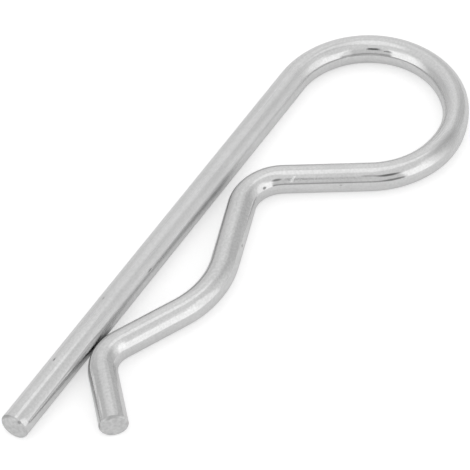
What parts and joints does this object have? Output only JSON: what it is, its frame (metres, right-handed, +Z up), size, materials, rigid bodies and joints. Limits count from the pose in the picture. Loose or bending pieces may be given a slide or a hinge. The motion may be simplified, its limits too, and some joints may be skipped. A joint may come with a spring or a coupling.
{
  "type": "hitch r clip pin",
  "caption": "Spring clip bent from one round wire: a straight leg for the cross hole of a hitch pin, a loop, and a spring leg whose bow grips the shaft.",
  "frame": {"origin": "middle of the shaft that the clip holds, on the straight leg's axis", "axes": "+X along the straight leg to its cut end, +Y across to the bow and the loop, +Z up, square to the flat of the clip and along the shaft it holds"},
  "size_m": [0.0857, 0.0286, 0.004],
  "materials": {
    "zinc_plate": "bright zinc plate over drawn spring wire"
  },
  "bodies": {
    "root": {"r_clip": "zinc_plate"}
  },
  "joints": []
}
